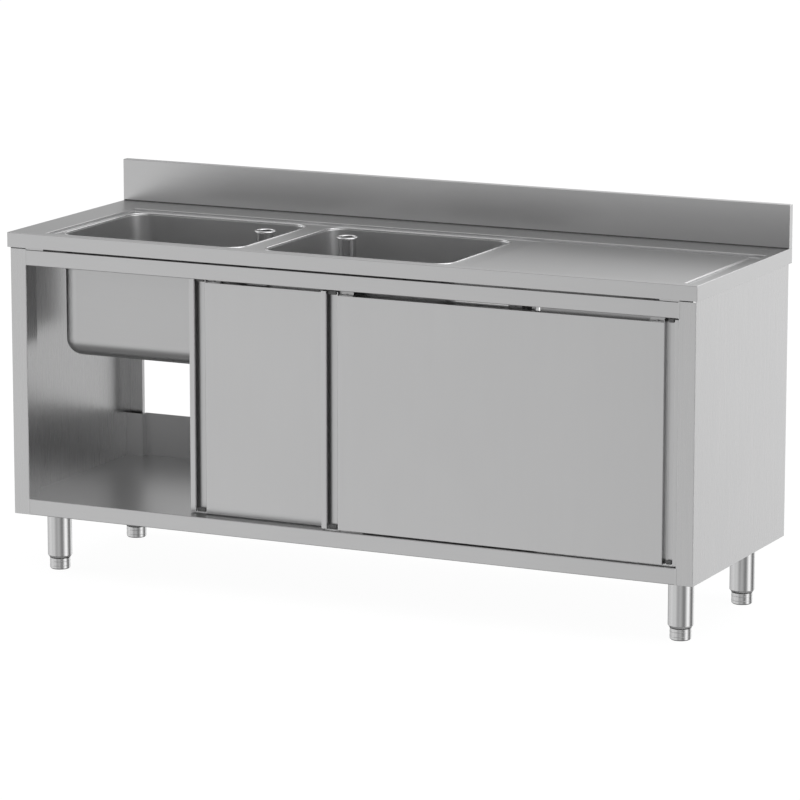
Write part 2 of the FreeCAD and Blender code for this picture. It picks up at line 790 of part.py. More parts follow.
def make_side_panel(side_name, side):
    """One sheet folded into the front post, the side and the rear post, with a flange top and bottom."""
    steel = SZ.carcass_steel
    outer, inner = side_x * side, post_x * side
    path = [(inner + SZ.post_lip * side, frame_y0 + SZ.post_return), (inner, frame_y0 + SZ.post_return),
            (inner, frame_y0), (outer, frame_y0), (outer, frame_y1), (inner, frame_y1),
            (inner, frame_y1 - SZ.rear_post_return)]
    body = folded_body(f"side_panel_{side_name}", "XY", path, steel, side, frame_z0,
                       fascia_z - frame_z0, SZ.edge_radius - steel, round_at=(1, 2, 3))
    flange = sorted([outer - steel * side, outer - SZ.panel_flange * side], key=lambda length: length.value)
    y0 = frame_y0 + SZ.post_return + steel
    y1 = frame_y1 - SZ.rear_post_return - steel
    for z in (frame_z0, fascia_z - steel):
        add_box(body, flange[0], flange[1], y0, y1, z, z + steel)
        doc.recompute()
    # the post's face ends short of the fascia, which leaves a shadow line
    face = sorted([inner, outer - SZ.edge_radius * side], key=lambda length: length.value)
    cut_box(body, face[0], face[1], frame_y0, frame_y0 + SZ.edge_radius,
            fascia_z - SZ.post_shadow_gap, fascia_z)
    return body


def make_rails():
    """The top rail is folded to carry the tracks; the rear rail ties the rear posts together."""
    steel = SZ.carcass_steel
    path = [(frame_y0 + SZ.rail_lip, rail_z0), (frame_y0, rail_z0), (frame_y0, rail_z1),
            (track_middles[1] + SZ.track_width / 2, rail_z1)]
    folded_body("top_rail", "YZ", path, steel, -1, -post_x, post_x * 2, SZ.edge_radius - steel)
    rear = [(frame_y1 - SZ.rear_post_return, rail_z0), (frame_y1, rail_z0), (frame_y1, rail_z1),
            (frame_y1 - SZ.rear_rail_depth, rail_z1)]
    folded_body("rear_rail", "YZ", rear, steel, 1, -post_x, post_x * 2)


def make_bottom_shelf():
    """Floor of the cabinet: its front is folded down as the plinth rail, its rear up as an upstand."""
    steel = SZ.carcass_steel
    lip_y = frame_y0 + SZ.shelf_apron_return
    upstand_y = frame_y1 - steel
    upstand_z = shelf_z + SZ.upstand_height
    path = [(lip_y, frame_z0), (frame_y0, frame_z0), (frame_y0, shelf_z), (upstand_y, shelf_z),
            (upstand_y, upstand_z)]
    half = post_x - SZ.upstand_clearance
    body = folded_body("bottom_shelf", "YZ", path, steel, -1, -half, half * 2,
                       SZ.edge_radius - steel, round_at=(0, 1))
    floor_z = shelf_z - steel
    wing_y0 = frame_y0 + SZ.post_return + steel
    wing_y1 = upstand_y - SZ.upstand_notch
    wing_x = side_x - steel
    for side in (-1, 1):
        ends = [half * side, post_x * side, wing_x * side]
        near, rail_end, far = ends
        apron = sorted([near, rail_end], key=lambda length: length.value)
        wing = sorted([near, far], key=lambda length: length.value)
        jog = sorted([near, near - steel * side], key=lambda length: length.value)
        # the plinth rail runs on to meet the post
        add_box(body, apron[0], apron[1], frame_y0, frame_y0 + steel, frame_z0, shelf_z)
        add_box(body, apron[0], apron[1], frame_y0, wing_y0, floor_z, shelf_z)
        # the floor's wing beside the posts, its upstand and the jog back to the rear one
        add_box(body, wing[0], wing[1], wing_y0, wing_y1, floor_z, shelf_z)
        add_box(body, wing[0], wing[1], wing_y1, wing_y1 + steel, floor_z, upstand_z)
        add_box(body, jog[0], jog[1], wing_y1, upstand_y, floor_z, upstand_z)
    doc.recompute()
    return body


def make_channel(label, x_middle, width, holes=()):
    """A channel under the shelf, open upwards and welded to it by its two edges."""
    steel = SZ.channel_steel
    half = width / 2
    top = shelf_z - SZ.carcass_steel
    low = frame_z0 + SZ.leg_plate_thickness
    path = [(x_middle - half, top), (x_middle - half, low), (x_middle + half, low), (x_middle + half, top)]
    y_rear = frame_y1 - SZ.rear_post_return * 2
    y_front = frame_y0 + SZ.post_return + steel
    body = folded_body(label, "XZ", path, steel, 1, -y_rear, y_rear - y_front)
    if holes:
        drill(body, low + steel, holes, SZ.leg_bolt_radius + SZ.hole_clearance, steel)
    return body


# ---------------------------------------------------------------- legs and feet

def square_of(x, y, spacing):
    """The four corners of a square round a point."""
    half = spacing / 2
    return [(x + half * i, y + half * j) for i in (-1, 1) for j in (-1, 1)]


def make_leg(place, x, y):
    """A tube welded to a square plate that is bolted under the channel."""
    plate_z = frame_z0 + SZ.leg_plate_thickness
    tube_z = SZ.foot_height + SZ.collar_height
    half = SZ.leg_plate_size / 2
    body = new_body(f"leg_{place}")
    add_box(body, -half, half, -half, half, frame_z0, plate_z)
    dress(body, "Fillet", SZ.leg_plate_thickness * 2, lambda edge: runs_along(edge, 2))
    tube = new_sketch(body, "XY", tube_z)
    draw_circle(tube, 0, 0, SZ.leg_radius)
    draw_circle(tube, 0, 0, SZ.leg_radius - SZ.leg_wall)
    pad(body, tube, frame_z0 - tube_z)
    drill(body, plate_z, square_of(as_size(0), as_size(0), SZ.leg_bolt_spacing),
          SZ.leg_bolt_radius + SZ.hole_clearance, SZ.leg_plate_thickness)
    place_body(body, x, y)
    return body


def make_leg_insert(place, x, y):
    """The threaded plug pressed into the tube's end, with a collar that tapers down to the foot."""
    low = SZ.foot_height
    collar = doc.addObject("Part::Cone", f"insert_collar_{place}")
    bind(collar, "Radius1", SZ.leg_radius - SZ.collar_taper)
    bind(collar, "Radius2", SZ.leg_radius)
    bind(collar, "Height", SZ.collar_height)
    for axis, length in zip("xyz", (x, y, low)):
        bind(collar, f"Placement.Base.{axis}", length)
    plug = part_cylinder(f"insert_plug_{place}", x, y, low + SZ.collar_height,
                         SZ.leg_radius - SZ.leg_wall, SZ.insert_height)
    bore = part_cylinder(f"insert_bore_{place}", x, y, low - SZ.cut_margin,
                         SZ.stem_radius + SZ.running_clearance,
                         SZ.collar_height + SZ.insert_height + 2 * SZ.cut_margin)
    return cut(f"insert_cut_{place}", fuse(f"insert_solid_{place}", [collar, plug]), bore)


def make_leg_fasteners(place, x, y):
    """The four bolts of a leg, and the nuts inside the channel."""
    bolts, nuts = [], []
    nut_z = frame_z0 + SZ.leg_plate_thickness + SZ.channel_steel
    for i, (bolt_x, bolt_y) in enumerate(square_of(x, y, SZ.leg_bolt_spacing)):
        tag = f"{place}_{i}"
        bolts.append(screw(f"leg_bolt_{tag}", bolt_x, bolt_y, frame_z0, SZ.leg_bolt_length,
                           SZ.leg_bolt_radius, SZ.leg_bolt_head_radius, SZ.leg_bolt_head_height, up=True))
        prism = doc.addObject("Part::Prism", f"leg_nut_{tag}")
        prism.Polygon = 6
        bind(prism, "Circumradius", SZ.leg_nut_flats / math.sqrt(3.0))
        bind(prism, "Height", SZ.leg_nut_thickness)
        for axis, length in zip("xyz", (bolt_x, bolt_y, nut_z)):
            bind(prism, f"Placement.Base.{axis}", length)
        bore = part_cylinder(f"leg_nut_bore_{tag}", bolt_x, bolt_y, nut_z - SZ.cut_margin,
                             SZ.leg_bolt_radius + SZ.thread_clearance,
                             SZ.leg_nut_thickness + 2 * SZ.cut_margin)
        nuts.append(cut(f"leg_nut_cut_{tag}", prism, bore))
    return bolts, nuts


def make_foot(place, x, y):
    """A turned foot with its threaded stem."""
    bevel = SZ.foot_bevel
    stem_z = SZ.foot_height + SZ.stem_length
    turned_body(f"foot_{place}", [
        (0, 0), (SZ.foot_radius - bevel, 0), (SZ.foot_radius, bevel),
        (SZ.foot_radius, SZ.foot_height - bevel), (SZ.foot_radius - bevel, SZ.foot_height),
        (SZ.stem_radius, SZ.foot_height), (SZ.stem_radius, stem_z - SZ.stem_bevel),
        (SZ.stem_radius - SZ.stem_bevel, stem_z), (0, stem_z)], x, y)


# ---------------------------------------------------------------- doors and their gear

def make_door(name, x, y_front):
    """A hollow door: skin folded into a hooked grip and a plain grip, inner skin, core, two channels."""
    steel = SZ.door_steel
    y_back = y_front + SZ.door_thickness
    y_inner = y_back - steel
    groove_y = y_inner - steel
    face_y = y_front + steel
    x_end = x + SZ.door_width
    hook = x + SZ.grip_flange_left
    panel_x, panel_x_end = x + panel_from, x + panel_to
    flange_x = x_end - SZ.grip_flange_right
    # from the hem behind the left flange round to the right end, with the steel on the path's right
    path = [(hook, y_front + SZ.grip_lip), (hook, y_front), (x, y_front), (x, y_inner),
            (panel_x + steel, y_inner), (panel_x + steel, face_y),
            (panel_x_end - steel, face_y), (panel_x_end - steel, y_inner),
            (flange_x + steel, y_inner), (flange_x + steel, face_y),
            (x_end - steel, face_y), (x_end - steel, y_inner)]
    grip_z1 = door_z1 + SZ.grip_rise
    skin = folded_body(f"{name}_skin", "XY", path, steel, -1, door_z0, grip_z1 - door_z0)
    _, outer, inner = folded_section(path, steel, -1)
    floor_bends, bow, tight_bends = (3, 6, 7), 4, (0, 1, 2, 5, 8, 9)
    dress(skin, "Fillet", SZ.grip_radius + steel, edge_at(2, [outer[i] for i in floor_bends]))
    dress(skin, "Fillet", SZ.grip_radius, edge_at(2, [inner[i] for i in floor_bends]))
    dress(skin, "Fillet", SZ.grip_bow_radius, edge_at(2, [outer[bow]]))
    dress(skin, "Fillet", SZ.grip_bow_radius - steel, edge_at(2, [inner[bow]]))
    dress(skin, "Fillet", SZ.door_edge_radius, edge_at(2, [outer[i] for i in tight_bends]))
    # the panel between the grips ends lower, to leave room for the hangers
    cut_box(skin, panel_x + SZ.grip_bow_radius, panel_x_end - SZ.door_edge_radius, y_front, y_inner,
            door_z1, grip_z1)

    inner_skin = new_body(f"{name}_inner_skin")
    add_box(inner_skin, x, x_end, y_inner, y_back, door_z0, door_z1)

    core_x0, core_x1 = panel_x + SZ.grip_bow_radius, panel_x_end - steel
    height = SZ.door_channel_height
    channels = {}
    for end, low, high in (("top", door_z1 - height, door_z1), ("bottom", door_z0, door_z0 + height)):
        section = [(face_y, low), (face_y, high), (y_inner, high), (y_inner, low)]
        channels[end] = folded_body(f"{name}_{end}_channel", "YZ", section, SZ.door_channel_steel, -1,
                                    core_x0, core_x1 - core_x0)
    core = part_box(f"{name}_core", core_x0, core_x1, face_y, y_inner,
                    door_z0 + height, door_z1 - height)
    keep(core, f"{name}_core")

    caps = []
    for i, (left, right) in enumerate(((hook, panel_x), (panel_x_end, flange_x))):
        for j, z in enumerate((door_z0, grip_z1 - SZ.cap_height)):
            cap = part_box(f"{name}_cap_{i}{j}", left + SZ.grip_radius * i, right - SZ.grip_radius,
                           groove_y - SZ.cap_depth, groove_y, z, z + SZ.cap_height)
            caps.append(cap)
    group(f"{name}_grip_caps", caps)
    return channels["top"]


def lying_cylinder(name, x, y, z, radius, length):
    """A cylinder along Y that starts at y."""
    cylinder = part_cylinder(name, x, y, z, radius, length)
    cylinder.Placement.Rotation = FreeCAD.Rotation(FreeCAD.Vector(1, 0, 0), -90)
    return cylinder


def make_hangers(name, x, y_front, top_channel):
    """Two brackets on the door's top channel, each with its riveted axle, and their screws."""
    y_middle = y_front + SZ.door_thickness / 2
    foot_z = door_z1 + SZ.hanger_foot_thickness
    half_foot = SZ.hanger_foot_depth / 2
    half_plate = SZ.hanger_thickness / 2
    half_width = SZ.hanger_width / 2
    reach = half_plate + SZ.roller_side_play * 2 + SZ.roller_width
    hole = SZ.screw_radius + SZ.hole_clearance
    screw_y = [y_middle + (half_foot + half_plate) / 2 * side for side in (-1, 1)]
    centres = [x + panel_from + SZ.hanger_from_left, x + panel_to - SZ.hanger_from_right]
    screws, hangers = [], []
    for i, middle in enumerate(centres):
        tag = f"{name}_{i}"
        foot = part_box(f"hanger_foot_{tag}", middle - half_width, middle + half_width,
                        y_middle - half_foot, y_middle + half_foot, door_z1, foot_z)
        plate = part_box(f"hanger_plate_{tag}", middle - half_width, middle + half_width,
                         y_middle - half_plate, y_middle + half_plate, door_z1, axle_z + SZ.hanger_above_axle)
        axle = lying_cylinder(f"axle_{tag}", middle, y_middle - reach, axle_z, SZ.axle_radius, reach * 2)
        heads = [lying_cylinder(f"axle_head_{tag}_{end}", middle, start, axle_z,
                                SZ.axle_radius + SZ.axle_head, SZ.axle_head)
                 for end, start in enumerate((y_middle - reach - SZ.axle_head, y_middle + reach))]
        drills = []
        for k, y in enumerate(screw_y):
            drills.append(part_cylinder(f"hanger_hole_{tag}_{k}", middle, y, door_z1 - SZ.cut_margin, hole,
                                        SZ.hanger_foot_thickness + 2 * SZ.cut_margin))
            screws.append(screw(f"hanger_screw_{tag}_{k}", middle, y, foot_z, SZ.screw_length,
                                SZ.screw_radius, SZ.screw_head_radius, SZ.screw_head_height, up=False))
        bracket = fuse(f"hanger_solid_{tag}", [foot, plate, axle] + heads)
        hangers.append(cut(f"hanger_{tag}", bracket, fuse(f"hanger_holes_{tag}", drills)))
    group(f"{name}_hangers", hangers)
    group(f"{name}_hanger_screws", screws)
    drill(top_channel, door_z1, [(middle, y) for middle in centres for y in screw_y],
          hole, SZ.door_channel_steel)
    return centres


def make_rollers(name, centres, y_front):
    """A pair of wheels at each hanger, one each side of it, turning on its axle."""
    y_middle = y_front + SZ.door_thickness / 2
    gap = SZ.hanger_thickness / 2 + SZ.roller_side_play
    for place, middle in zip(("left", "right"), centres):
        wheels = []
        for k, start in enumerate((y_middle - gap - SZ.roller_width, y_middle + gap)):
            tag = f"{name}_{place}_{k}"
            disc = lying_cylinder(f"wheel_{tag}", middle, start, axle_z, SZ.roller_radius, SZ.roller_width)
            bore = lying_cylinder(f"wheel_bore_{tag}", middle, start - SZ.cut_margin, axle_z,
                                  SZ.axle_radius + SZ.running_clearance, SZ.roller_width + 2 * SZ.cut_margin)
            wheels.append(cut(f"wheel_cut_{tag}", disc, bore))
        group(f"{name}_rollers_{place}", wheels)


def make_track(label, y_middle):
    """A C track with a slot below, hung under the top rail's flange."""
    half, slot = SZ.track_width / 2, SZ.track_slot / 2
    path = [(y_middle - slot, track_z0), (y_middle - half, track_z0), (y_middle - half, track_z1),
            (y_middle + half, track_z1), (y_middle + half, track_z0), (y_middle + slot, track_z0)]
    length = (post_x - SZ.track_end_gap) * 2
    return folded_body(label, "YZ", path, SZ.track_steel, -1, -(post_x - SZ.track_end_gap), length)


def make_track_blind():
    """A hemmed strip behind the front track's right part: it closes the view over the front door."""
    steel = SZ.carcass_steel
    y = track_middles[0] + SZ.track_width / 2
    z = track_z0 - SZ.blind_drop
    path = [(y, track_z1), (y, z), (y + SZ.blind_hem, z)]
    x_from = rear_door_x + SZ.door_width + SZ.blind_inset
    folded_body("track_blind", "YZ", path, steel, 1, x_from, post_x - SZ.track_end_gap - x_from)


def make_track_stops(y_middles, front_centres, rear_centres):
    """Rubber blocks in the tracks that end the doors' travel."""
    reach = SZ.hanger_width / 2 + SZ.stop_play
    half = SZ.track_width / 2 - SZ.track_steel - SZ.stop_side_clearance
    travel_left = front_door_x + post_x - SZ.door_end_gap
    stops = []
    cases = [(y_middles[0], front_centres[0] - travel_left, front_centres[1]),
             (y_middles[1], rear_centres[0] - SZ.rear_door_shift,
              rear_centres[1] + travel_left - SZ.rear_door_shift)]
    for i, (y_middle, low_axle, high_axle) in enumerate(cases):
        places = [(low_axle - reach - SZ.stop_length, low_axle - reach),
                  (high_axle + reach, high_axle + reach + SZ.stop_length)]
        for j, (x0, x1) in enumerate(places):
            stops.append(part_box(f"stop_{i}{j}", x0, x1, y_middle - half, y_middle + half,
                                  track_z0 + SZ.track_steel,
                                  track_z1 - SZ.track_steel - SZ.stop_side_clearance))
    group("track_stops", stops)


def make_lower_guide(y_middles, shelf):
    """A moulded guide in the middle of the shelf: one fin runs in each door's bottom channel."""
    half = SZ.guide_length / 2
    fin_half = SZ.guide_fin_length / 2
    # the fins stand where both doors keep their channel over them in every position
    channel_from, channel_to = panel_from + SZ.grip_bow_radius, panel_to - SZ.door_steel
    fin_middle = (channel_from - SZ.door_width + channel_to) / 2
    fin = SZ.door_thickness / 2 - SZ.door_steel - SZ.door_channel_steel - SZ.guide_side_clearance
    fin_z = door_z0 + SZ.door_channel_height - SZ.door_channel_steel - SZ.guide_top_clearance
    base_z = shelf_z + SZ.guide_base
    seat_z = base_z - SZ.flush_head_height
    body = new_body("lower_guide")
    add_box(body, -half, half, y_middles[0] - fin, y_middles[1] + fin, shelf_z, base_z)
    for y_middle in y_middles:
        add_box(body, fin_middle - fin_half, fin_middle + fin_half, y_middle - fin, y_middle + fin,
                base_z - SZ.guide_base / 2, fin_z)
    ends = [((fin_middle + fin_half * i).value, (y + fin * j).value)
            for y in y_middles for i in (-1, 1) for j in (-1, 1)]
    dress(body, "Fillet", fin / 2, edge_at(2, ends))
    middle = (y_middles[0] + y_middles[1]) / 2
    spots = [((half - SZ.guide_screw_inset) * side, middle) for side in (-1, 1)]
    drill(body, base_z, spots, SZ.screw_head_radius + SZ.hole_clearance, SZ.flush_head_height)
    drill(body, seat_z, spots, SZ.screw_radius + SZ.hole_clearance, SZ.guide_base)
    drill(shelf, shelf_z, spots, SZ.screw_radius + SZ.hole_clearance, SZ.carcass_steel)
    screws = [screw(f"guide_screw_{i}", x, y, seat_z, SZ.screw_length, SZ.screw_radius,
                    SZ.screw_head_radius, SZ.flush_head_height, up=False) for i, (x, y) in enumerate(spots)]
    group("guide_screws", screws)


def make_top_brackets():
    """Channel brackets that carry the fascia's lip on the top rail beside the posts."""
    steel = SZ.carcass_steel
    y0 = frame_y0 + steel * 2
    brackets = []
    for side in (-1, 1):
        x0, x1 = sorted([post_x * side, (post_x - SZ.bracket_length) * side], key=lambda length: length.value)
        web = part_box(f"bracket_web_{side + 1}", x0, x1, y0, y0 + steel, rail_z1, fascia_z)
        low = part_box(f"bracket_low_{side + 1}", x0, x1, y0, y0 + SZ.bracket_depth, rail_z1, rail_z1 + steel)
        high = part_box(f"bracket_high_{side + 1}", x0, x1, y0, y0 + SZ.bracket_depth,
                        fascia_z - steel, fascia_z)
        brackets.append(fuse(f"bracket_{side + 1}", [web, low, high]))
    group("top_brackets", brackets)


# ---------------------------------------------------------------- assembly

make_worktop()
make_splashback()
stiffener_middles = (drainer_x0 + SZ.stiffener_inset, drainer_x1 - SZ.stiffener_inset)
group("drainer_stiffeners", [make_drainer_stiffener(f"drainer_hat_{i}", middle)
                             for i, middle in enumerate(stiffener_middles)])

waste_y = bowl_y1 - SZ.bowl_lip - SZ.waste_from_rear
waste_places = {
    "left": (bowl_left_x0, bowl_left_x0 + SZ.bowl_width - SZ.bowl_lip - SZ.waste_from_side_left),
    "right": (bowl_right_x0, bowl_right_x0 + SZ.bowl_lip + SZ.waste_from_side_right),
}
waste_seals, waste_nuts = [], []
for side_name, (bowl_x0, waste_x) in waste_places.items():
    make_bowl(side_name, bowl_x0, waste_x, waste_y)
    rings, nut = make_waste(side_name, waste_x, waste_y)
    waste_seals += rings
    waste_nuts.append(nut)
    make_standpipe(side_name, waste_x, waste_y)
group("waste_seals", waste_seals)
group("waste_nuts", waste_nuts)

make_side_panel("left", -1)
make_side_panel("right", 1)
make_rails()
make_top_brackets()
bottom_shelf = make_bottom_shelf()

leg_x = side_x - SZ.leg_from_side
leg_rows = {"front": frame_y0 + SZ.leg_from_front, "rear": frame_y1 - SZ.leg_from_rear}
inserts, leg_bolts, leg_nuts = [], [], []
for side_name, side in (("left", -1), ("right", 1)):
    x = leg_x * side
    bolt_spots = []
    for row, y in leg_rows.items():
        place = f"{row}_{side_name}"
        make_leg(place, x, y)
        make_foot(place, x, y)
        inserts.append(make_leg_insert(place, x, y))
        bolts, nuts = make_leg_fasteners(place, x, y)
        leg_bolts += bolts
        leg_nuts += nuts
        bolt_spots += square_of(x, y, SZ.leg_bolt_spacing)
    make_channel(f"leg_channel_{side_name}", x, SZ.channel_width, bolt_spots)
make_channel("shelf_stiffener", as_size(0), SZ.centre_channel_width)
group("leg_inserts", inserts)
group("leg_bolts", leg_bolts)
group("leg_nuts", leg_nuts)

make_track("front_track", track_middles[0])
make_track("rear_track", track_middles[1])
make_track_blind()
hanger_centres = {}
for name, x, y in (("front_door", front_door_x, door_front_y), ("rear_door", rear_door_x, rear_door_front_y)):
    top_channel = make_door(name, x, y)
    hanger_centres[name] = make_hangers(name, x, y, top_channel)
    make_rollers(name, hanger_centres[name], y)
make_track_stops(track_middles, hanger_centres["front_door"], hanger_centres["rear_door"])
make_lower_guide(track_middles, bottom_shelf)

doc.recompute()
for obj in doc.Objects:
    if "Invalid" in obj.State or "Error" in obj.State:
        raise RuntimeError(f"{obj.Label} failed: {obj.State}")
labels = [obj.Label for obj in PARTS]
if len(set(labels)) != len(labels):
    raise RuntimeError("two sub-parts share a name")
for obj in PARTS:
    if obj.Shape.isNull() or not obj.Shape.isValid():
        raise RuntimeError(f"{obj.Label} has no valid shape")

os.makedirs("parts", exist_ok=True)
for obj in PARTS:
    obj.Shape.exportStep(f"parts/{obj.Label}.step")
    box = obj.Shape.BoundBox
    print(f"{obj.Label:28s} solids {len(obj.Shape.Solids)} volume {obj.Shape.Volume:12.1f} "
          f"x {box.XMin:.1f}..{box.XMax:.1f} y {box.YMin:.1f}..{box.YMax:.1f} "
          f"z {box.ZMin:.1f}..{box.ZMax:.1f}")
print(len(PARTS), "sub-parts")
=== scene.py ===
import json
import math

import bpy
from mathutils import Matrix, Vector


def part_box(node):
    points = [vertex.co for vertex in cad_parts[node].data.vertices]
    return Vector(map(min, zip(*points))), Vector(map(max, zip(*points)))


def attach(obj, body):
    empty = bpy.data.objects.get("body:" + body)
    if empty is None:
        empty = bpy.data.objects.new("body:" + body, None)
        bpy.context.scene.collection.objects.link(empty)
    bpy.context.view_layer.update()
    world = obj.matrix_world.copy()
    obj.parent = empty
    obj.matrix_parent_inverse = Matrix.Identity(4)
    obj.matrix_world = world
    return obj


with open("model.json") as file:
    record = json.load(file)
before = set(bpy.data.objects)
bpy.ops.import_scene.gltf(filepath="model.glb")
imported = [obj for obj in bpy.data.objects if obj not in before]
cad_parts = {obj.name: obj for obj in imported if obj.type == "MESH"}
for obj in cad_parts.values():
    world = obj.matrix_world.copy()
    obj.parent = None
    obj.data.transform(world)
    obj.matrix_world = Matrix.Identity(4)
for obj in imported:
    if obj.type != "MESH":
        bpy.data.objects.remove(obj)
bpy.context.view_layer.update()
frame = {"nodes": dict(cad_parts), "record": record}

# ---------------------------------------------------------------- camera
IMAGE_WIDTH = 800
AIM = Vector((0.0, 0.0, 0.4673))
AZIMUTH, ELEVATION = 25.74, 11.09
DISTANCE = 10.698
SENSOR = 36.0
FOCAL_PIXELS = 4433.2
AIM_PIXEL = (395.1, 396.6)


def stand_camera():
    """The camera at the photograph's angle, with its frame shifted to the unit's place in it."""
    turn, rise = math.radians(AZIMUTH), math.radians(ELEVATION)
    back = Vector((math.sin(turn) * math.cos(rise), -math.cos(turn) * math.cos(rise), math.sin(rise)))
    bpy.ops.object.camera_add(location=AIM + DISTANCE * back)
    camera = bpy.context.object
    camera.name = "camera"
    camera.rotation_euler = (math.pi / 2 - rise, 0.0, turn)
    camera.data.sensor_width = SENSOR
    camera.data.lens = FOCAL_PIXELS * SENSOR / IMAGE_WIDTH
    camera.data.shift_x = (IMAGE_WIDTH / 2 - AIM_PIXEL[0]) / IMAGE_WIDTH
    camera.data.shift_y = (AIM_PIXEL[1] - IMAGE_WIDTH / 2) / IMAGE_WIDTH
    camera.data.clip_end = 100.0
    bpy.context.scene.camera = camera


# ---------------------------------------------------------------- finishes
MM = 0.001
FOLD_EDGE = 0.6 * MM
GRAIN_ALONG, GRAIN_ACROSS = 6.0, 900.0
GRAIN_SPREAD = 0.02
GRAIN_BUMP = 0.05
GRAIN_DEPTH = 0.2 * MM
CLOUD_SCALE = 3.2
SKIN_SCALE, SKIN_BUMP, SKIN_DEPTH = 900.0, 0.15, 0.3 * MM
MOTTLE_SCALE = 30.0
FIBRE_SCALE, FIBRE_BUMP, FIBRE_DEPTH = 3.0, 0.2, 0.8 * MM
FIBRE_DARK, FIBRE_LIGHT = (0.42, 0.33, 0.2), (0.62, 0.5, 0.33)
BOARD_ROUGHNESS = 0.85
COOL_TINT = 1.004


class Finish:
    """One finish: a node tree with short names for its parts."""

    def __init__(self, name):
        self.material = bpy.data.materials.new(name)
        self.material.use_nodes = True
        self.nodes = self.material.node_tree.nodes
        self.links = self.material.node_tree.links
        self.shader = self.nodes["Principled BSDF"]
        self.place = self.nodes.new("ShaderNodeTexCoord").outputs["Object"]

    def join(self, start, end):
        self.links.new(start, end)

    def stretched(self, scale, turn=(0.0, 0.0, 0.0)):
        mapping = self.nodes.new("ShaderNodeMapping")
        mapping.inputs["Scale"].default_value = scale
        mapping.inputs["Rotation"].default_value = turn
        self.join(self.place, mapping.inputs["Vector"])
        return mapping.outputs["Vector"]

    def noise(self, vector, scale, detail=2.0, roughness=0.5):
        noise = self.nodes.new("ShaderNodeTexNoise")
        noise.inputs["Scale"].default_value = scale
        noise.inputs["Detail"].default_value = detail
        noise.inputs["Roughness"].default_value = roughness
        self.join(vector, noise.inputs["Vector"])
        return noise.outputs["Fac"]

    def ranged(self, value, low, high, start=0.3, end=0.7):
        span = self.nodes.new("ShaderNodeMapRange")
        span.inputs["From Min"].default_value = start
        span.inputs["From Max"].default_value = end
        span.inputs["To Min"].default_value = low
        span.inputs["To Max"].default_value = high
        self.join(value, span.inputs["Value"])
        return span.outputs["Result"]

    def between(self, factor, dark, light):
        mix = self.nodes.new("ShaderNodeMix")
        mix.data_type = "RGBA"
        mix.inputs["A"].default_value = (*dark, 1.0)
        mix.inputs["B"].default_value = (*light, 1.0)
        self.join(factor, mix.inputs["Factor"])
        return mix.outputs["Result"]

    def bumped(self, height, strength, distance, under=None):
        bump = self.nodes.new("ShaderNodeBump")
        bump.inputs["Strength"].default_value = strength
        bump.inputs["Distance"].default_value = distance
        self.join(height, bump.inputs["Height"])
        if under is not None:
            self.join(under, bump.inputs["Normal"])
        return bump.outputs["Normal"]

    def rounded(self, radius):
        bevel = self.nodes.new("ShaderNodeBevel")
        bevel.samples = 4
        bevel.inputs["Radius"].default_value = radius
        return bevel.outputs["Normal"]


def grey(level):
    return (level, level, level * COOL_TINT)


def brushed_steel(name, level, roughness, grain_along, edge=FOLD_EDGE):
    """Sheet steel with a fine brushed grain, faint clouds and softly broken edges."""
    finish = Finish(name)
    scale = [GRAIN_ALONG if axis == grain_along else GRAIN_ACROSS for axis in "xyz"]
    grain = finish.noise(finish.stretched(scale), 1.0, 3.0, 0.65)
    clouds = finish.noise(finish.place, CLOUD_SCALE, 3.0, 0.55)
    colour = finish.between(clouds, grey(level * 0.975), grey(level * 1.02))
    finish.join(colour, finish.shader.inputs["Base Color"])
    sheen = finish.ranged(grain, roughness - GRAIN_SPREAD, roughness + GRAIN_SPREAD)
    finish.join(sheen, finish.shader.inputs["Roughness"])
    relief = finish.bumped(grain, GRAIN_BUMP, GRAIN_DEPTH, finish.rounded(edge))
    finish.join(relief, finish.shader.inputs["Normal"])
    finish.shader.inputs["Metallic"].default_value = 1.0
    return finish.material


def moulded_plastic(name, level, roughness):
    """Plastic, nylon or rubber with a fine moulded skin and a faint mottle."""
    finish = Finish(name)
    skin = finish.noise(finish.place, SKIN_SCALE, 2.0)
    mottle = finish.noise(finish.place, MOTTLE_SCALE, 3.0)
    colour = finish.between(mottle, grey(level * 0.93), grey(level * 1.05))
    finish.join(colour, finish.shader.inputs["Base Color"])
    relief = finish.bumped(skin, SKIN_BUMP, SKIN_DEPTH, finish.rounded(FOLD_EDGE))
    finish.join(relief, finish.shader.inputs["Normal"])
    finish.shader.inputs["Roughness"].default_value = roughness
    return finish.material


def board(name):
    """The doors' core: pressed board with its fibres along the door."""
    finish = Finish(name)
    fibre = finish.noise(finish.stretched((4.0, 60.0, 60.0)), FIBRE_SCALE, 5.0)
    finish.join(finish.between(fibre, FIBRE_DARK, FIBRE_LIGHT), finish.shader.inputs["Base Color"])
    finish.join(finish.bumped(fibre, FIBRE_BUMP, FIBRE_DEPTH), finish.shader.inputs["Normal"])
    finish.shader.inputs["Roughness"].default_value = BOARD_ROUGHNESS
    return finish.material


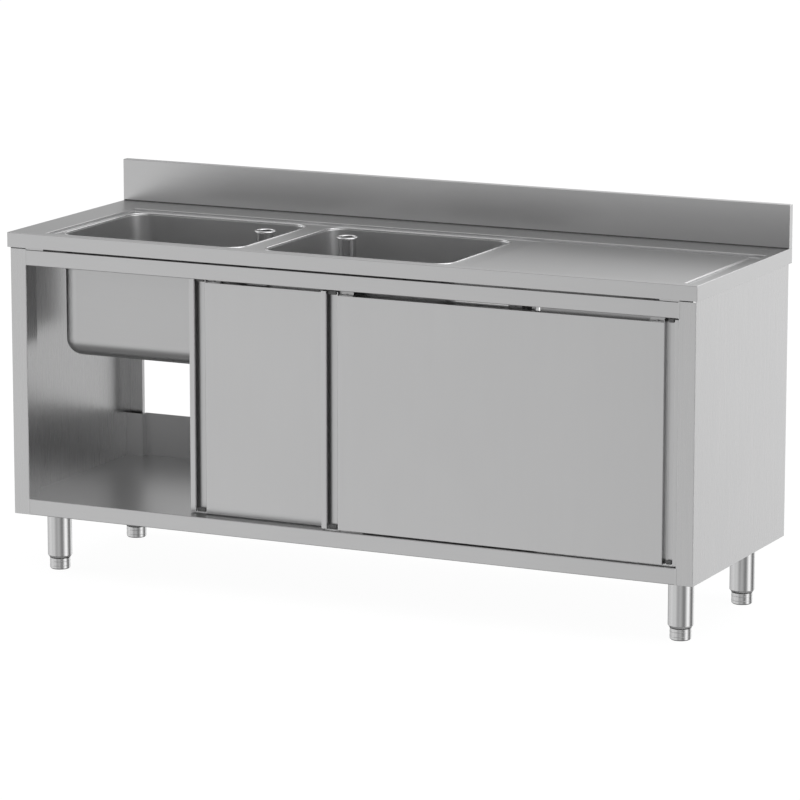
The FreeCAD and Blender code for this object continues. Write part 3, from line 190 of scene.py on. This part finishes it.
FINISHES = {
    "satin_steel": brushed_steel("satin_steel", 0.60, 0.30, "x"),
    "panel_steel": brushed_steel("panel_steel", 0.59, 0.28, "z"),
    "bowl_steel": brushed_steel("bowl_steel", 0.60, 0.36, "x"),
    "door_steel": brushed_steel("door_steel", 0.60, 0.30, "z"),
    "leg_steel": brushed_steel("leg_steel", 0.62, 0.24, "x"),
    "gear_steel": brushed_steel("gear_steel", 0.50, 0.36, "x"),
    "bright_steel": brushed_steel("bright_steel", 0.72, 0.20, "z"),
    "ground_weld": brushed_steel("ground_weld", 0.60, 0.31, "x", 0.0),
    # painted highlight: lip bead steel set far lighter than the other steel, standing for the lip's
    # highlight
    "lip_painted_highlight": brushed_steel("lip_painted_highlight", 0.88, 0.18, "x"),
    "grey_plastic": moulded_plastic("grey_plastic", 0.40, 0.45),
    # painted shade: grip caps made near-black so the grip channel reads shaded up to its top
    "grip_cap_painted_shade": moulded_plastic("grip_cap_painted_shade", 0.14, 0.45),
    "dark_plastic": moulded_plastic("dark_plastic", 0.05, 0.5),
    "nylon": moulded_plastic("nylon", 0.72, 0.4),
    "black_rubber": moulded_plastic("black_rubber", 0.03, 0.65),
    # painted shadow: near-black strip standing for the shade in the ledge corner
    "ledge_painted_shadow": moulded_plastic("ledge_painted_shadow", 0.04, 0.55),
    "core_board": board("core_board"),
}
OTHER_FINISH = {
    "side_panel_left": "panel_steel",
    "side_panel_right": "panel_steel",
    # the grip caps take the dark painted-shade plastic instead of their slot's finish
    "front_door_grip_caps": "grip_cap_painted_shade",
    "rear_door_grip_caps": "grip_cap_painted_shade",
}


def dress_nodes():
    """Gives every node of the frame the finish of its slot, or its own where one is listed."""
    slots = {part["node"]: part["material_slot"] for part in frame["record"]["subparts"]}
    for name, node in frame["nodes"].items():
        finish = FINISHES[OTHER_FINISH.get(name, slots[name])]
        if not node.material_slots:
            node.data.materials.append(None)
        for place in node.material_slots:
            place.link = "OBJECT"
            place.material = finish


# ---------------------------------------------------------------- pieces added to the frame
RING_WIDTH = 5.5 * MM
RING_HEIGHT = 2.8 * MM
RING_ROUNDING = 0.48 * RING_HEIGHT
MOUTH_CORNER = 51.0 * MM
CORNER_STEPS = 14
# size of the dark strip that paints the shadow of the gap between ledge and splashback
SHADOW_STRIP = 2.4 * MM
SHADOW_STRIP_COVE = 0.85 * SHADOW_STRIP
COVE_PROFILE = 0.3
APRON_HEIGHT = 39.0 * MM
SEAM = 1.6 * MM
WELD_WIDTH = 4.6 * MM
WELD_DEPTH = 1.6 * MM
WELD_PROUD = 0.12 * MM
FOOT_RIB = 1.6 * MM
FOOT_RIB_WALL = 0.8 * MM
FOOT_RIB_PROUD = 0.35 * MM
FOOT_RIB_HEIGHTS = (8.0 * MM, 19.0 * MM)
WIPER_HEIGHT = 1.2 * MM
WIPER_WALL = 0.75 * MM
WIPER_PROUD = 0.9 * MM
ROUND_SIDES = 64
SAME_POINT = 0.01 * MM
SMOOTH_UNDER = math.radians(40.0)


def select_only(piece):
    bpy.ops.object.select_all(action="DESELECT")
    piece.select_set(True)
    bpy.context.view_layer.objects.active = piece


def settle(piece):
    """Puts the piece's place, turn and size into its mesh."""
    select_only(piece)
    bpy.ops.object.transform_apply(location=True, rotation=True, scale=True)


def add_block(name, middle, size):
    """A block to be shaped, with its size already in its mesh."""
    bpy.ops.object.select_all(action="DESELECT")
    bpy.ops.mesh.primitive_cube_add(size=1.0, location=middle)
    block = bpy.context.object
    block.name = name
    block.scale = size
    settle(block)
    return block


def round_edges(piece, wanted, width, steps, profile=0.5):
    """Bevels the edges whose middle is wanted."""
    bpy.ops.object.mode_set(mode="EDIT")
    bpy.ops.mesh.select_mode(type="EDGE")
    bpy.ops.mesh.select_all(action="DESELECT")
    bpy.ops.object.mode_set(mode="OBJECT")
    points = piece.data.vertices
    for edge in piece.data.edges:
        first, last = (points[i].co for i in edge.vertices)
        edge.select = bool(wanted((first + last) / 2))
    bpy.ops.object.mode_set(mode="EDIT")
    bpy.ops.mesh.bevel(offset=width, segments=steps, profile=profile, affect="EDGES")
    bpy.ops.object.mode_set(mode="OBJECT")


def modify(piece, kind, **settings):
    """Adds a modifier, sets it and applies it."""
    modifier = piece.modifiers.new(kind.lower(), kind)
    for key, value in settings.items():
        setattr(modifier, key, value)
    select_only(piece)
    bpy.ops.object.modifier_apply(modifier=modifier.name)


def complete(piece, finish_name, body):
    """Outward faces, smooth shading, the piece's finish and slot, and the body that carries it."""
    select_only(piece)
    bpy.ops.object.mode_set(mode="EDIT")
    bpy.ops.mesh.select_all(action="SELECT")
    bpy.ops.mesh.remove_doubles(threshold=SAME_POINT)
    bpy.ops.mesh.normals_make_consistent(inside=False)
    bpy.ops.object.mode_set(mode="OBJECT")
    bpy.ops.object.shade_smooth_by_angle(angle=SMOOTH_UNDER)
    piece.data.materials.clear()
    piece.data.materials.append(FINISHES[finish_name])
    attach(piece, body)


def copy_of(piece, name, shift):
    """A copy with its own mesh, moved by shift."""
    select_only(piece)
    bpy.ops.object.duplicate(linked=False)
    twin = bpy.context.object
    twin.name = name
    twin.location = shift
    settle(twin)
    return twin


def make_bowl_rings():
    """A bead along each bowl's rolled lip, where it runs out over the deck; its steel is set much lighter
    than the rest, a painted highlight of the lip.
    """
    low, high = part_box("bowl_left")
    middle = (low + high) / 2
    bpy.ops.object.select_all(action="DESELECT")
    bpy.ops.mesh.primitive_plane_add(size=1.0, location=(middle.x, middle.y, high.z))
    ring = bpy.context.object
    ring.name = "bowl_ring_left"
    ring.scale = (high.x - low.x, high.y - low.y, 1.0)
    settle(ring)
    bpy.ops.object.mode_set(mode="EDIT")
    bpy.ops.mesh.select_all(action="SELECT")
    bpy.ops.mesh.bevel(offset=MOUTH_CORNER, segments=CORNER_STEPS, affect="VERTICES")
    bpy.ops.mesh.select_mode(type="FACE")
    bpy.ops.mesh.select_all(action="SELECT")
    bpy.ops.mesh.inset(thickness=RING_WIDTH)
    bpy.ops.mesh.delete(type="FACE")
    bpy.ops.object.mode_set(mode="OBJECT")
    modify(ring, "SOLIDIFY", thickness=RING_HEIGHT, offset=0.0)
    modify(ring, "BEVEL", width=RING_ROUNDING, segments=6, limit_method="ANGLE")
    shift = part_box("bowl_right")[0].x - low.x
    other = copy_of(ring, "bowl_ring_right", (shift, 0.0, 0.0))
    complete(ring, "lip_painted_highlight", "cabinet")
    complete(other, "lip_painted_highlight", "cabinet")


def make_ledge_shadow_strip():
    """A dark coved strip in the corner of the ledge and the splashback, painting the shadow of the gap
    there.
    """
    low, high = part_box("splashback")
    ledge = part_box("worktop")[1].z
    middle = (0.0, low.y - SHADOW_STRIP / 2, ledge + SHADOW_STRIP / 2)
    strip = add_block("ledge_shadow_strip", middle, (high.x - low.x - 2 * SHADOW_STRIP, SHADOW_STRIP, SHADOW_STRIP))
    front, top = low.y - SHADOW_STRIP * 0.9, ledge + SHADOW_STRIP * 0.9
    round_edges(strip, lambda at: at.y < front and at.z > top, SHADOW_STRIP_COVE, 6, COVE_PROFILE)
    complete(strip, "ledge_painted_shadow", "cabinet")


def make_weld_seams():
    """The ground welds that close the seams between the posts and the rails."""
    low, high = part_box("top_rail")
    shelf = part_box("bottom_shelf")[0].z
    across, depth = high.x + SEAM / 2, low.y - WELD_PROUD + WELD_DEPTH / 2
    for label, bottom, top in (("rail", low.z, high.z), ("apron", shelf, shelf + APRON_HEIGHT)):
        middle = (bottom + top) / 2
        size = (WELD_WIDTH, WELD_DEPTH, top - bottom)
        weld = add_block(f"weld_{label}_right", (across, depth, middle), size)
        upright = lambda at: at.y < low.y and abs(at.z - middle) < SEAM
        round_edges(weld, upright, WELD_PROUD * 0.9, 3)
        twin = copy_of(weld, f"weld_{label}_left", (-2 * across, 0.0, 0.0))
        complete(weld, "ground_weld", "cabinet")
        complete(twin, "ground_weld", "cabinet")


def round_band(name, x, y, z, radius, height, wall):
    """A thin ring with rounded edges, standing at z."""
    bpy.ops.object.select_all(action="DESELECT")
    bpy.ops.mesh.primitive_cylinder_add(
        vertices=ROUND_SIDES, radius=radius, depth=height,
        end_fill_type="NOTHING", location=(x, y, z + height / 2))
    band = bpy.context.object
    band.name = name
    settle(band)
    modify(band, "SOLIDIFY", thickness=wall, offset=-1.0)
    modify(band, "BEVEL", width=min(wall, height) * 0.4, segments=3, limit_method="ANGLE")
    return band


def make_foot_details():
    """Two turned ribs on each levelling foot, and the wiper ring under its leg."""
    low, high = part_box("foot_front_left")
    centre = (low + high) / 2
    radius = (high.x - low.x) / 2
    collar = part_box("leg_inserts")[0].z
    ribs, upper = [
        round_band("foot_rib", centre.x, centre.y, z, radius + FOOT_RIB_PROUD, FOOT_RIB, FOOT_RIB_WALL)
        for z in FOOT_RIB_HEIGHTS]
    select_only(upper)
    ribs.select_set(True)
    bpy.context.view_layer.objects.active = ribs
    bpy.ops.object.join()
    wiper = round_band(
        "foot_wiper", centre.x, centre.y, collar - WIPER_HEIGHT,
        radius + WIPER_PROUD, WIPER_HEIGHT, WIPER_WALL)
    for place in ("front_left", "front_right", "rear_left", "rear_right"):
        low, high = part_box(f"foot_{place}")
        shift = (low + high) / 2 - centre
        shift.z = 0.0
        own_ribs = copy_of(ribs, f"foot_ribs_{place}", shift)
        own_wiper = copy_of(wiper, f"foot_wiper_{place}", shift)
        complete(own_ribs, "leg_steel", f"foot_{place}_body")
        complete(own_wiper, "black_rubber", "cabinet")
    bpy.data.objects.remove(ribs)
    bpy.data.objects.remove(wiper)


# ---------------------------------------------------------------- studio
FLOOR_SIZE = 60.0
FLOOR_TONE = 0.90
FLOOR_GLOW = 1.04
FLOOR_GLOW_SHARE = 0.92
BACKDROP_IN_METAL = 0.2
WHITE = (1.0, 1.0, 1.0, 1.0)
# soft lights around the unit: turn from its front toward the right, rise, tightness, strength
SOFT_LIGHTS = {
    "behind_low": (168, -10, 12, 1.1),
    "behind": (180, 18, 14, 1.4),
    "behind_high": (180, 50, 6, 0.6),
    "left_low": (-60, -12, 14, 0.6),
    "front_left_low": (-27, -13, 16, 0.85),
    "left": (-75, 16, 12, 1.7),
    "left_high": (-90, 60, 6, 0.6),
    "rear_left_low": (-110, -10, 8, 0.75),
    "front_low": (18, -10, 12, 0.65),
    "right_low": (90, -10, 14, 1.3),
    "right": (90, 16, 14, 1.7),
    "right_high": (60, 48, 6, 1.7),
    "above": (0, 90, 6, 0.4),
    "below": (0, -90, 6, 0.2),
}


class Studio:
    """Node helper for the floor and the surroundings."""

    def __init__(self, tree):
        self.nodes, self.links = tree.nodes, tree.links

    def math(self, kind, *values):
        node = self.nodes.new("ShaderNodeMath")
        node.operation = kind
        for socket, value in zip(node.inputs, values):
            if isinstance(value, (int, float)):
                socket.default_value = value
            else:
                self.links.new(value, socket)
        return node.outputs[0]


def lay_floor():
    """A white floor that keeps the unit's shadow; the metal mirrors the surroundings instead of it."""
    bpy.ops.object.select_all(action="DESELECT")
    bpy.ops.mesh.primitive_plane_add(size=FLOOR_SIZE, location=(0.0, 0.0, 0.0))
    floor = bpy.context.object
    floor.name = "floor"
    floor.visible_glossy = False
    material = bpy.data.materials.new("floor_white")
    material.use_nodes = True
    nodes, links = material.node_tree.nodes, material.node_tree.links
    studio = Studio(material.node_tree)
    nodes.remove(nodes["Principled BSDF"])
    matt = nodes.new("ShaderNodeBsdfDiffuse")
    matt.inputs["Color"].default_value = (FLOOR_TONE, FLOOR_TONE, FLOOR_TONE, 1.0)
    glow = nodes.new("ShaderNodeEmission")
    glow.inputs["Strength"].default_value = FLOOR_GLOW
    path = nodes.new("ShaderNodeLightPath")
    mix = nodes.new("ShaderNodeMixShader")
    links.new(studio.math("MULTIPLY", path.outputs["Is Camera Ray"], FLOOR_GLOW_SHARE), mix.inputs["Fac"])
    links.new(matt.outputs[0], mix.inputs[1])
    links.new(glow.outputs[0], mix.inputs[2])
    links.new(mix.outputs[0], nodes["Material Output"].inputs["Surface"])
    floor.data.materials.append(material)


def light_studio():
    """White surroundings for the camera; for the metal, the soft lights added up."""
    world = bpy.data.worlds.new("studio")
    bpy.context.scene.world = world
    world.use_nodes = True
    nodes, links = world.node_tree.nodes, world.node_tree.links
    studio = Studio(world.node_tree)
    direction = nodes.new("ShaderNodeTexCoord").outputs["Generated"]
    total = None
    for turn, rise, tightness, strength in SOFT_LIGHTS.values():
        turn, rise = math.radians(turn), math.radians(rise)
        near = nodes.new("ShaderNodeVectorMath")
        near.operation = "DOT_PRODUCT"
        near.inputs[1].default_value = (
            math.sin(turn) * math.cos(rise), -math.cos(turn) * math.cos(rise), math.sin(rise))
        links.new(direction, near.inputs[0])
        slope = studio.math("MULTIPLY_ADD", near.outputs["Value"], tightness, -tightness)
        glow = studio.math("MULTIPLY", studio.math("EXPONENT", slope), strength)
        total = glow if total is None else studio.math("ADD", total, glow)
    path = nodes.new("ShaderNodeLightPath")
    seen = studio.math("MAXIMUM", total, path.outputs["Is Camera Ray"])
    for rays in ("Is Glossy Ray", "Is Transmission Ray"):
        seen = studio.math("MAXIMUM", seen, studio.math("MULTIPLY", path.outputs[rays], BACKDROP_IN_METAL))
    links.new(seen, nodes["Background"].inputs["Strength"])
    nodes["Background"].inputs["Color"].default_value = WHITE


bpy.context.scene.view_settings.view_transform = "Standard"
stand_camera()
dress_nodes()
make_bowl_rings()
make_ledge_shadow_strip()
make_weld_seams()
make_foot_details()
lay_floor()
light_studio()
